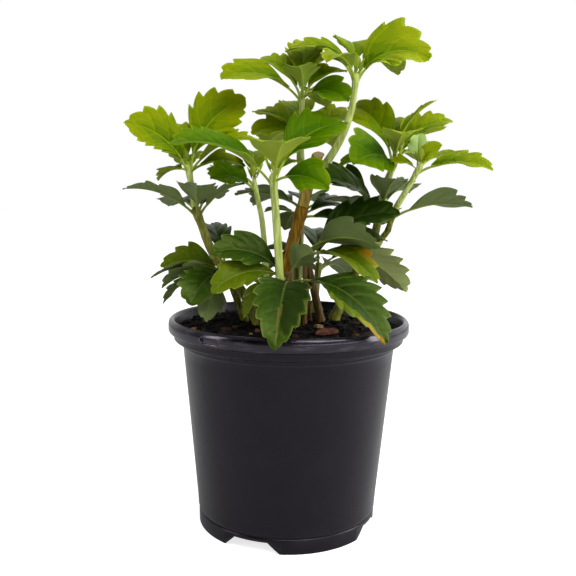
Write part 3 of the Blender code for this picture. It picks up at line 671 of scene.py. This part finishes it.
def grow_whorls(materials):
    """One piece of leaves for each whorl. The draws of sway and roll keep the order of the solids."""
    random.seed(SEED)
    for number, whorl in enumerate(WHORLS):
        foot, along, radius = core_of(whorl)
        draws = np.random.RandomState(100 + number)
        skin, used, firsts = Skin(), [], {}

        def first_of(paint_name):
            if paint_name not in firsts:
                firsts[paint_name] = len(used)
                used.extend(materials[paint_name])
            return firsts[paint_name]

        for k, (turn, rise, reach, roll, width) in enumerate(whorl.leaves):
            share = FIRST_LEAF + LEAF_SPAN * k / len(whorl.leaves)
            out = Vector((cos(radians(turn)), sin(radians(turn)), 0))
            root = foot + along * CORE_LENGTH * share + out * radius * ROOT_DEPTH
            sway, more_roll = random.uniform(-SWAY, SWAY), random.uniform(-ROLL, ROLL)
            teeth = 2 + sum(reach > past for past in TOOTH_REACHES)
            leaf = Leaf(turn, rise, reach, whorl.arch, roll + more_roll, sway, width, teeth)
            shape = SHAPES.get(whorl.name, {}).get(k)
            if shape:
                leaf = leaf._replace(teeth=round(teeth + 6 * (0.6 - shape.first_tooth)))
            else:
                shape = Shape(draws.uniform(0.5, 0.6), draws.uniform(0.75, 0.95), draws.uniform(0.48, 0.64))
            usual = "old" if whorl.old else "young"
            first = first_of(LEAF_PAINTS.get(whorl.name, {}).get(k, usual))
            patches = []
            for patch in PATCHES.get((whorl.name, k), ()):
                patches.append((len(used), patch))
                used.append(leaf_material(f"{whorl.name}_patch_{len(used)}", patch.colour, 0.42, 0.2, 0.3))
            grow_blade(skin, root, leaf, shape, first, patches, draws)
        if not whorl.old:
            root = foot + along * CORE_LENGTH * BUD_PLACE
            for leaf in bud_leaves(draws):
                grow_blade(skin, root, leaf, Shape(), first_of("young"), [], draws)
        piece = skin.build(f"{whorl.name}_blades", used, 60)
        finish_piece(piece, "old_leaf" if whorl.old else "young_leaf", whorl.name)


def finish_piece(piece, slot_name, *nodes):
    """Attaches a piece of the plant or pot to the root, and hides the solids that it stands for."""
    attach(piece, "root")
    if nodes:
        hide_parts(*nodes)


# Stems: the colours of the darker and lighter streaks and of the scars, as paint takes them
Bark = namedtuple("Bark", "dark mid light scar shine")
GREEN_BARK = Bark((126, 144, 48), (158, 172, 78), (190, 200, 124), (130, 126, 66), 0.45)
OLIVE_BARK = Bark((78, 80, 18), (108, 110, 32), (144, 144, 62), (74, 62, 28), 0.2)
ORANGE_BARK = Bark((82, 54, 0), (112, 80, 6), (148, 116, 34), (42, 24, 10), 0.1)
TAN_BARK = Bark((112, 92, 26), (142, 120, 48), (172, 152, 84), (60, 42, 20), 0.15)
BROWN_BARK = Bark((56, 42, 16), (86, 66, 26), (120, 98, 50), (40, 27, 14), 0.2)
BARKS = {
    "main_stem": ORANGE_BARK,
    "main_upper_stem": TAN_BARK,
    "left_stem": OLIVE_BARK,
    "right_stem": OLIVE_BARK,
    "base_front_stem": BROWN_BARK,
    "base_right_stem": BROWN_BARK,
}
CUT_WOOD = paint(206, 178, 138)
CUT_SLANT = 0.6  # how steeply the cut end of a stem falls to the front


def bark_material(name, bark):
    made = new_material(name, paint(*bark.mid), 0.5, bark.shine)
    shades = [paint(*colour) for colour in (bark.dark, bark.mid, bark.light)]
    mottle(made, shades, (900, 4, (1, 1, 0.12)), 0.32, 0.68)
    bumpy(made, (1500, 3, (1, 1, 0.3)), 0.35, 0.15 * MM)
    uneven_gloss(made, (300,), 0.42, 0.62)
    return made


# The thin old stems: the whorl that each ends in, and where it leaves the potting mix, in mm
THIN_STEMS = (
    ("base_front_leaves", -7, -13), ("base_front_leaves", 6, -12), ("base_front_leaves", -2, -8),
    ("base_right_leaves", 9, -10), ("base_right_leaves", 13, 5), ("base_right_leaves", 4, -6),
    ("base_middle_leaves", -8, 8),
)
THIN_FOOT, THIN_TIP = 1.5 * MM, 1.1 * MM
THIN_SIDES = 12
# Where the branches that leave another stem's side start, inside that stem, in mm
FORKS = {"top_branch": (9, 1, 196), "upper_left_branch": (7, 0.5, 193), "far_right_stem": (50, 5, 164)}


def stem_numbers(stem):
    """Points and radii up a stem and on through the core of the whorl at its tip."""
    points = stem_line(stem)
    if stem.name in FORKS:
        points = [Vector(FORKS[stem.name]) * MM, *points]
    line = smooth_line(points, STEM_RING)
    shares = [i / (len(line) - 1) for i in range(len(line))]
    radii = [(stem.foot_mm + share * (stem.tip_mm - stem.foot_mm)) * MM for share in shares]
    if len(stem.points[0]) == 2:
        line[0] = line[0] - Vector((0, 0, SUNK))
        radii = [r * (1 + (FLARE - 1) * exp(-i / 3)) for i, r in enumerate(radii)]
    whorl = WHORL_ON.get(stem.name)
    if whorl:
        foot, along, radius = core_of(whorl)
        for share in np.linspace(0.05, 1, 10):
            size = np.interp(share, (0, 0.35, 0.8, 1), (1, 1.15, 1.1, 1 if whorl.old else 0.6))
            line.append(foot + along * CORE_LENGTH * share)
            radii.append(radius * size)
    return np.array(line), np.array(radii), whorl


def grow_stem(stem, number):
    """A ribbed tube with a scar where each old leaf was."""
    line, radii, whorl = stem_numbers(stem)
    draws = np.random.RandomState(500 + number)
    along = np.gradient(line, axis=0)
    along /= np.linalg.norm(along, axis=1)[:, None]
    across = np.cross(along, (0, 1, 0))
    across /= np.linalg.norm(across, axis=1)[:, None]
    other = np.cross(along, across)
    turns = ring_turns(STEM_SIDES)
    length = np.concatenate([[0], np.cumsum(np.linalg.norm(np.diff(line, axis=0), axis=1))])
    twist = draws.uniform(0, tau) + length / (40 * MM)
    relief = RIDGE_RISE * np.cos(RIDGES * turns[None, :] + twist[:, None])
    relief = relief + STEM_ROUGH * soft_random(draws, len(line), STEM_SIDES, 9)
    scarred = np.zeros((len(line), STEM_SIDES))
    place = draws.uniform(8, 16) * MM
    while place < length[-1] - 10 * MM:
        turn = draws.uniform(0, tau)
        around = np.abs((turns - turn + pi) % tau - pi)
        oval = np.exp(-(((length[:, None] - place) / (1.1 * MM)) ** 2) - (around[None, :] / 0.55) ** 2)
        band = np.exp(-(((length - place - 0.6 * MM) / (0.7 * MM)) ** 2))[:, None]
        relief = relief + (SCAR_RISE if stem.old else YOUNG_SCAR_RISE) * oval + 0.04 * band
        scarred = np.maximum(scarred, oval)
        place += draws.uniform(9, 20) * MM * (1 if stem.old else 1.6)
    rings = tube_rings(line, radii[:, None] * (1 + relief), turns, across, other)
    bark = BARKS.get(stem.name, OLIVE_BARK if stem.old else GREEN_BARK)
    materials = [bark_material(f"{stem.name}_bark", bark)]
    materials.append(bark_material(f"{stem.name}_scar", scar_bark(bark)))
    slots = (scarred[:-1] > SCAR_EDGE).astype(int) if stem.old else 0
    tip = line[-1] + along[-1] * 0.5 * MM
    if whorl is None:
        materials.append(cut_material())
        tip = line[-1] - (0, 0, radii[-1] * CUT_SLANT)
        rings[..., 2] = np.minimum(rings[..., 2], tip[2] + CUT_SLANT * (rings[..., 1] - tip[1]))
    skin = Skin()
    skin.tube(rings, slots, line[0], tip, 0, 0 if whorl else 2)
    piece = skin.build(f"{stem.name}_bark", materials, 50)
    finish_piece(piece, "old_stem" if stem.old else "young_stem", stem.name)


def grow_thin_stems():
    """The thin old stems in the middle of the clump, as one piece. Each leaves the potting mix by itself
    and ends in the core of a whorl."""
    skin = Skin()
    draws = np.random.RandomState(71)
    turns = ring_turns(THIN_SIDES)
    for whorl_name, x, y in THIN_STEMS:
        foot, along, _ = core_of(WHORL_NAMED[whorl_name])
        start = Vector((x * MM, y * MM, SOIL_TOP - SUNK))
        middle = (start + foot) / 2 + Vector((draws.uniform(-2, 2), draws.uniform(-2, 2), 0)) * MM
        line = np.array(smooth_line([start, middle, foot + along * CORE_LENGTH * 0.4], STEM_RING))
        radii = np.linspace(THIN_FOOT, THIN_TIP, len(line))[:, None]
        radii = radii * (1 + 0.12 * soft_random(draws, len(line), THIN_SIDES, 7))
        rings = tube_rings(line, radii, turns, np.array([(1, 0, 0)]), np.array([(0, 1, 0)]))
        skin.tube(rings, 0, line[0], line[-1], 0, 0)
    finish_piece(skin.build("thin_old_stems", [bark_material("thin_bark", BROWN_BARK)], 50), "old_stem")


def scar_bark(bark):
    return Bark(bark.scar, bark.scar, bark.dark, bark.scar, bark.shine)


def cut_material():
    made = new_material("cut_wood", CUT_WOOD, 0.8, 0.5)
    mottle(made, (paint(170, 134, 100), CUT_WOOD), (1800, 3), 0.35, 0.6)
    return made


# Potting mix
SOIL_EDGE = 116 * MM
SOIL_FLAT_RADIUS = 46 * MM
SOIL_OUTER = 64 * MM
SOIL_RINGS, SOIL_SIDES = 74, 200
SOIL_SKIRT = 6 * MM  # how far the surface's edge reaches down
# The mix's colours are partly its own dark colour and partly painted shade, for the shade of the leaves over
# it
MIX_COLOUR = (0.012, 0.009, 0.007)
MIX_SHADES = (paint(4, 3, 3), paint(10, 8, 7), paint(28, 21, 16))
CHIPS = 620
CHIP_SIDES = 7


def soil_height(radius, x, y):
    """The potting mix's surface at a place."""
    share = (radius - SOIL_FLAT_RADIUS) / (SOIL_OUTER - SOIL_FLAT_RADIUS)
    level = SOIL_TOP - (SOIL_TOP - SOIL_EDGE) * min(1, max(0, share))
    rough = noise.fractal(Vector((x, y, 0)) * 180, 0.7, 2.1, 5)
    return level + 1.1 * MM * rough


def soil_material():
    made = new_material("bark_mix", MIX_COLOUR, 0.95, 0.1)
    mottle(made, MIX_SHADES, (500, 6), 0.35, 0.74)
    bumpy(made, (900, 6), 1.0, 0.8 * MM)
    return made


def grow_soil():
    radii = np.linspace(0.4 * MM, SOIL_OUTER, SOIL_RINGS)
    rows = []
    for radius in radii:
        row = [(radius * cos(turn), radius * sin(turn)) for turn in ring_turns(SOIL_SIDES)]
        rows.append([(x, y, soil_height(radius, x, y)) for x, y in row])
    rows.append([(x, y, SOIL_EDGE - SOIL_SKIRT) for x, y, _ in rows[-1]])
    skin = Skin()
    index = skin.grid(np.array(rows), 0, closed=True)
    skin.cap(index[0][::-1], np.array((0, 0, SOIL_TOP)), 0)
    piece = skin.build("potting_mix_surface", [soil_material()], 80)
    finish_piece(piece, "bark_mix", "potting_mix")


# The darker chip colours are partly the bark's own colour and partly painted shade, for the shade of the
# leaves over the potting mix
CHIP_COLOURS = (
    paint(9, 7, 6), paint(20, 14, 11), paint(48, 30, 20), paint(104, 62, 46), paint(150, 118, 80),
)
CHIP_SHARES = (0.6, 0.27, 0.1, 0.02, 0.01)
# Chips that the photograph shows: x, y, length, width, turn in degrees, colour
SHOWN_CHIPS = (
    (-54, -22, 7, 4, 20, 4), (-51, -30, 8, 4, 60, 2), (17, -20, 7, 7, 30, 4), (20, -38, 17, 11, 10, 3),
    (44, -30, 13, 6, -20, 2), (49, -38, 10, 5, 40, 1), (-44, -36, 9, 5, -35, 1), (36, -38, 7, 5, 70, 3),
)


def chip_rings(length, width, height, draws):
    """Three rings of corners round one irregular flake of bark, about its middle."""
    turns = ring_turns(CHIP_SIDES) + draws.uniform(-0.25, 0.25, CHIP_SIDES)
    outline = draws.uniform(0.7, 1.05, CHIP_SIDES)
    rings = []
    for level, size in ((-1, 0.7), (-0.2, 1), (0.9, 0.82)):
        reach = outline * size * draws.uniform(0.92, 1.08, CHIP_SIDES)
        rise = level * height / 2 * draws.uniform(0.6, 1.2, CHIP_SIDES)
        sides = length / 2 * reach * np.cos(turns), width / 2 * reach * np.sin(turns)
        rings.append(np.stack([*sides, rise], axis=1))
    return np.array(rings)


def chip_material(k, colour):
    made = new_material(f"bark_chip_{k}", colour, 0.85, 0.2)
    darker = tuple(c * 0.45 for c in colour)
    paler = tuple(min(1, c * 1.5) for c in colour)
    mottle(made, (darker, colour, paler), (700, 5, (1, 0.3, 1)))
    bumpy(made, (1300, 4, (1, 0.25, 1)), 0.8, 0.3 * MM)
    return made


def grow_chips():
    """Flakes of bark that lie on the potting mix and a little way into it, as one piece."""
    draws = np.random.RandomState(31)
    placed = list(SHOWN_CHIPS)
    while len(placed) < CHIPS:
        radius, turn = SOIL_OUTER * 0.98 * sqrt(draws.uniform(0, 1)), draws.uniform(0, tau)
        length = draws.uniform(2.2, 9) if draws.uniform(0, 1) < 0.5 else draws.uniform(1.5, 4)
        colour = int(np.searchsorted(np.cumsum(CHIP_SHARES), draws.uniform(0, 0.999)))
        x, y = radius / MM * cos(turn), radius / MM * sin(turn)
        placed.append((x, y, length, length * draws.uniform(0.4, 0.8), draws.uniform(0, 360), colour))
    skin = Skin()
    for k, (x, y, length, width, turn, colour) in enumerate(placed):
        shown = k < len(SHOWN_CHIPS)
        height = min(width, 3.2) * draws.uniform(0.35, 0.8) * MM
        rings = chip_rings(length * MM, width * MM, height, draws)
        tilt = draws.uniform(-12, 12) if shown else draws.uniform(-25, 25)
        spin = Matrix.Rotation(radians(turn), 3, "Z") @ Matrix.Rotation(radians(tilt), 3, "X")
        spin = spin @ Matrix.Rotation(radians(draws.uniform(-15, 15)), 3, "Y")
        radius = hypot(x, y) * MM
        low = soil_height(radius, x * MM, y * MM) + height * (0.35 if shown else 0.15)
        rings = rings @ np.array(spin).T + np.array((x * MM, y * MM, low))
        skin.tube(rings, colour, rings[0].mean(axis=0), rings[-1].mean(axis=0), colour, colour)
    materials = [chip_material(k, colour) for k, colour in enumerate(CHIP_COLOURS)]
    finish_piece(skin.build("bark_chips", materials, 20), "bark_mix")


# Pot
RIM_RADIUS = 70 * MM
POT_TALL = 122 * MM
BODY_TOP_RADIUS = 61.6 * MM
BODY_TOP = 106 * MM
FOOT_RADIUS = 52.4 * MM
FOOT_HEIGHT = 9 * MM
WALL = 1.3 * MM
FLOOR = 7.2 * MM
RIM_BAND = 8 * MM  # the height of the rim's outer band
POT_SIDES = 180
POT_EDGE = 30  # degrees from which an edge of the pot looks sharp
FEET = 4
NOTCH_TURN = -22
NOTCH_HEIGHT = 6.4 * MM
NOTCH_TOP_WIDTH = 19 * MM
NOTCH_FOOT_WIDTH = 33 * MM
DRAIN_RADIUS = 4 * MM
DRAIN_CIRCLE = 38 * MM
TAB_TURN = -36
TAB_WIDTH = 11 * MM
POT_TINT = (0.92, 0.83, 1, 1)  # the colour of the plastic's sheen
WALL_SHADES = (paint(5, 4, 7), paint(8, 6, 10), paint(14, 11, 18))
# The rim's shades are lighter than the wall's and streaked along the band: painted highlights, for the
# reflections on the lip and band
RIM_SHADES_AND_HIGHLIGHTS = (paint(10, 8, 12), paint(24, 21, 28), paint(66, 62, 70))


def body_radius(height):
    """The outer radius of the pot's tapering wall."""
    share = (height - FOOT_HEIGHT) / (BODY_TOP - FOOT_HEIGHT)
    return FOOT_RADIUS + share * (BODY_TOP_RADIUS - FOOT_RADIUS)


# The pot's section, in mm: the foot's, past its radius, the step's, and the rim's, past its radius and top
FOOT_SECTION = ((-0.5, 0), (-0.2, 0.3), (0, 8.1), (-0.15, 8.4), (-0.6, 8.7), (-0.6, 9.1), (0.1, 9.6))
STEP_SECTION = ((61.55, 105.6), (61.9, 106.1), (62.6, 106.8), (62.8, 107.4), (62.8, 108.2), (63.2, 108.7))
RIM_SECTION = (
    (-5.4, -12.9), (-5.0, -12.6), (-3.6, -12.1), (-3.2, -11.6), (-3.0, -9.0), (-2.7, -8.5), (-1.3, -7.9),
    (-0.4, -7.3), (0, -6.4), (0, -3.4), (-0.15, -2.2), (-0.5, -1.2), (-1.1, -0.45), (-1.7, -0.08),
    (-2.3, 0), (-2.9, -0.3), (-3.5, -0.9), (-4.0, -2.0), (-5.2, -8.0),
)


def pot_profile():
    """The wall's section: up the outside, over the rim, down the inside and across the foot ring."""
    outside = [(FOOT_RADIUS / MM + past, height) for past, height in FOOT_SECTION]
    for past, height in ((0.2, 10.5), (0.1, 12), *((0, height) for height in np.linspace(20, 100, 9))):
        outside.append((body_radius(height * MM) / MM + past, height))
    outside += STEP_SECTION
    outside += [(RIM_RADIUS / MM + past, POT_TALL / MM + height) for past, height in RIM_SECTION]
    floor_top = FLOOR + WALL
    inside = [
        (BODY_TOP_RADIUS - WALL, BODY_TOP + 0.5 * MM),
        (body_radius(floor_top) - WALL, floor_top),
        (2 * MM, floor_top),
        (2 * MM, FLOOR),
        (FOOT_RADIUS - 2.2 * MM, FLOOR),
        (FOOT_RADIUS - 2.0 * MM, 0),
    ]
    return [(radius * MM, height * MM) for radius, height in outside] + inside


def around_pot(turn, radius, height=0.0):
    """A place round the pot's axis. Turn 0 is the front, and it grows towards the right."""
    angle = radians(turn - 90)
    place = Vector((radius * cos(angle), radius * sin(angle), height))
    return Matrix.Translation(place) @ Matrix.Rotation(angle + pi / 2, 4, "Z")


def turned(profile):
    bm = bmesh.new()
    verts = [bm.verts.new((radius, 0, height)) for radius, height in profile]
    edges = [bm.edges.new(pair) for pair in zip(verts, verts[1:] + verts[:1])]
    whole_turn = {"cent": (0, 0, 0), "axis": (0, 0, 1), "angle": tau, "steps": POT_SIDES}
    bmesh.ops.spin(bm, geom=verts + edges, use_merge=True, **whole_turn)
    bmesh.ops.remove_doubles(bm, verts=bm.verts, dist=0.01 * MM)
    return bm


def object_of(name, bm):
    bmesh.ops.recalc_face_normals(bm, faces=bm.faces)
    mesh = bpy.data.meshes.new(name)
    bm.to_mesh(mesh)
    bm.free()
    return smooth_object(name, mesh, POT_EDGE)


def cut(target, bm):
    """Takes the shape in bm out of the target."""
    cutter = object_of("cutter", bm)
    modifier = target.modifiers.new("cut", "BOOLEAN")
    modifier.object = cutter
    modifier.operation = "DIFFERENCE"
    modifier.solver = "MANIFOLD"
    graph = bpy.context.evaluated_depsgraph_get()
    target.data = bpy.data.meshes.new_from_object(target.evaluated_get(graph))
    target.modifiers.clear()
    bpy.data.objects.remove(cutter)


def prism(outline, depth):
    """A bmesh of an outline in x and z, that deep along y."""
    bm = bmesh.new()
    rows = [[bm.verts.new((x, y, z)) for x, z in outline] for y in (-depth / 2, depth / 2)]
    for i in range(len(outline)):
        j = (i + 1) % len(outline)
        bm.faces.new((rows[0][i], rows[0][j], rows[1][j], rows[1][i]))
    bm.faces.new(rows[0])
    bm.faces.new(rows[1])
    return bm


def notch_cutter(turn):
    """A trapezium across the foot ring, wider at the ground, with rounded upper corners."""
    half_foot, half_top, below = NOTCH_FOOT_WIDTH / 2, NOTCH_TOP_WIDTH / 2, 2 * MM
    spread = (half_foot - half_top) * below / NOTCH_HEIGHT
    outline = [(-half_foot - spread, -below), (half_foot + spread, -below)]
    for k in range(5):
        share = k / 4
        outline.append((half_top + 1.2 * MM * (1 - share), NOTCH_HEIGHT - 0.9 * MM * (1 - share) ** 2))
    outline += [(-x, z) for x, z in reversed(outline[2:])]
    bm = prism(outline, 9 * MM)
    bm.transform(around_pot(turn, FOOT_RADIUS - 2.5 * MM))
    return bm


def drain_cutter(turn):
    bm = bmesh.new()
    size = {"radius1": DRAIN_RADIUS, "radius2": DRAIN_RADIUS, "depth": 8 * MM}
    bmesh.ops.create_cone(bm, cap_ends=True, segments=32, **size)
    bm.transform(around_pot(turn, DRAIN_CIRCLE, FLOOR))
    return bm


def tab_cutter():
    """The slot in the rim's band that holds a plant label."""
    bm = bmesh.new()
    bmesh.ops.create_cube(bm, size=1)
    bm.transform(Matrix.Diagonal((TAB_WIDTH, 2.4 * MM, 2.6 * MM, 1)))
    bm.transform(around_pot(TAB_TURN, RIM_RADIUS + 0.2 * MM, POT_TALL - 4.4 * MM))
    return bm


def pot_material(name, colours, marks, smoothest, roughest, shine):
    """Satin plastic in three shades. Marks are the scale, detail and stretch of their pattern."""
    made = new_material(name, colours[1], 0.3, shine)
    mottle(made, colours, marks, 0.3, 0.8)
    uneven_gloss(made, (140, 5, (1, 1, 0.3)), smoothest, roughest)
    bumpy(made, (1400, 3), 0.12, 0.1 * MM)
    set_inputs(shader_of(made), {"Specular Tint": POT_TINT})
    return made


def grow_pot():
    pot = object_of("pot_shell", turned(pot_profile()))
    wall_marks, rim_marks = (60, 6), (90, 7, (1, 1, 5))
    for looks in (
        ("pot_plastic", WALL_SHADES, wall_marks, 0.22, 0.36, 0.26),
        ("pot_rim_painted_highlights", RIM_SHADES_AND_HIGHLIGHTS, rim_marks, 0.1, 0.26, 0.42),
    ):
        pot.data.materials.append(pot_material(*looks))
    for foot in range(FEET):
        turn = NOTCH_TURN + foot * 360 / FEET
        cut(pot, notch_cutter(turn))
        cut(pot, drain_cutter(turn + 45 / FEET))
    cut(pot, tab_cutter())
    # The rim's faces take the material with the painted highlights
    for face in pot.data.polygons:
        x, y, z = face.center
        if z > POT_TALL - RIM_BAND and hypot(x, y) > RIM_RADIUS - 3 * MM:
            face.material_index = 1
    pot.data.transform(Matrix.Translation(POT_AXIS))
    finish_piece(pot, "pot_plastic", "pot")


# Camera, in the plant's own layout
CAMERA_PLACE = Vector((-0.7, -435.4, 194.8)) * MM
CAMERA_PITCH = 7.33  # degrees down
CAMERA_ROLL = 0.75
CAMERA_LENS = 46.875

# The backdrop's strength, in front, behind, and what the right side adds
WORLD_FRONT = 0.12
WORLD_BACK = 0.9
WORLD_RIGHT = 0.4
FLOOR_GLOW = 0.75


def set_camera():
    data = bpy.data.cameras.new("camera")
    data.lens = CAMERA_LENS
    data.sensor_width = 36
    data.clip_start = 0.01
    camera = add_object("camera", data)
    camera.matrix_world = (
        Matrix.Translation(POT_AXIS + CAMERA_PLACE)
        @ Matrix.Rotation(radians(90 - CAMERA_PITCH), 4, "X")
        @ Matrix.Rotation(radians(CAMERA_ROLL), 4, "Z")
    )
    bpy.context.scene.camera = camera


def set_world():
    """A white backdrop. What it gives the object is dim in front, and brighter behind and to the right."""
    world = bpy.data.worlds.new("studio")
    world.use_nodes = True
    background = world.node_tree.nodes["Background"]
    set_inputs(background, {"Color": (1, 1, 1, 1)})
    seen = node(world, "ShaderNodeLightPath")
    place = node(world, "ShaderNodeTexCoord")
    parts = node(world, "ShaderNodeSeparateXYZ")
    depths = {"From Min": -0.7, "From Max": 0.7, "To Min": WORLD_FRONT, "To Max": WORLD_BACK}
    behind = node(world, "ShaderNodeMapRange", **depths)
    right = node(world, "ShaderNodeMath", operation="MULTIPLY_ADD")
    set_inputs(right, {1: WORLD_RIGHT})
    chosen = node(world, "ShaderNodeMix", B=1)
    join(world, place, "Generated", parts, "Vector")
    join(world, parts, "Y", behind, "Value")
    join(world, parts, "X", right, 0)
    join(world, behind, "Result", right, 2)
    join(world, right, "Value", chosen, "A")
    join(world, seen, "Is Camera Ray", chosen, "Factor")
    join(world, chosen, "Result", background, "Strength")
    bpy.context.scene.world = world


# The lights: name, place, size and power in watts
LIGHTS = (
    ("key_softbox", (0.15, -0.8, 1.3), (1.0, 0.8), 11.5),
    ("rim_softbox", (0.65, -0.75, 1.0), (0.7, 0.4), 6),
    ("low_front_softbox", (0.8, -1.2, 0.22), (1.6, 0.12), 3.5),
    ("left_softbox", (-1.3, -0.4, 0.5), (0.35, 1.2), 10),
    ("right_softbox", (1.3, -0.05, 0.5), (0.5, 1.2), 17),
)
LIT_PLACE = Vector((0, 0, 0.2))  # what each light faces


def set_lights():
    for name, place, size, power in LIGHTS:
        data = bpy.data.lights.new(name, "AREA")
        data.shape = "RECTANGLE"
        data.size, data.size_y = size
        data.energy = power
        light = add_object(name, data)
        light.location = place
        light.rotation_euler = (LIT_PLACE - Vector(place)).to_track_quat("-Z", "Y").to_euler()
    bpy.context.scene.view_settings.view_transform = "Standard"


def set_floor():
    """A pale floor, as bright to the camera as the backdrop, and dimmer in what it gives the object."""
    bm = bmesh.new()
    bmesh.ops.create_circle(bm, cap_ends=True, segments=96, radius=6)
    floor = object_of("floor", bm)
    material = new_material("floor", (0.6, 0.6, 0.6), 0.9, 0)
    set_inputs(shader_of(material), {"Emission Color": (1, 1, 1, 1)})
    seen = node(material, "ShaderNodeLightPath")
    glow = node(material, "ShaderNodeMath", operation="MULTIPLY")
    set_inputs(glow, {1: FLOOR_GLOW})
    join(material, seen, "Is Camera Ray", glow, 0)
    join(material, glow, "Value", shader_of(material), "Emission Strength")
    floor.data.materials.append(material)


def main():
    grow_whorls(leaf_materials())
    for number, stem in enumerate(STEMS):
        grow_stem(stem, number)
    grow_thin_stems()
    grow_soil()
    grow_chips()
    grow_pot()
    set_camera()
    set_world()
    set_lights()
    set_floor()
    bpy.context.view_layer.update()


main()
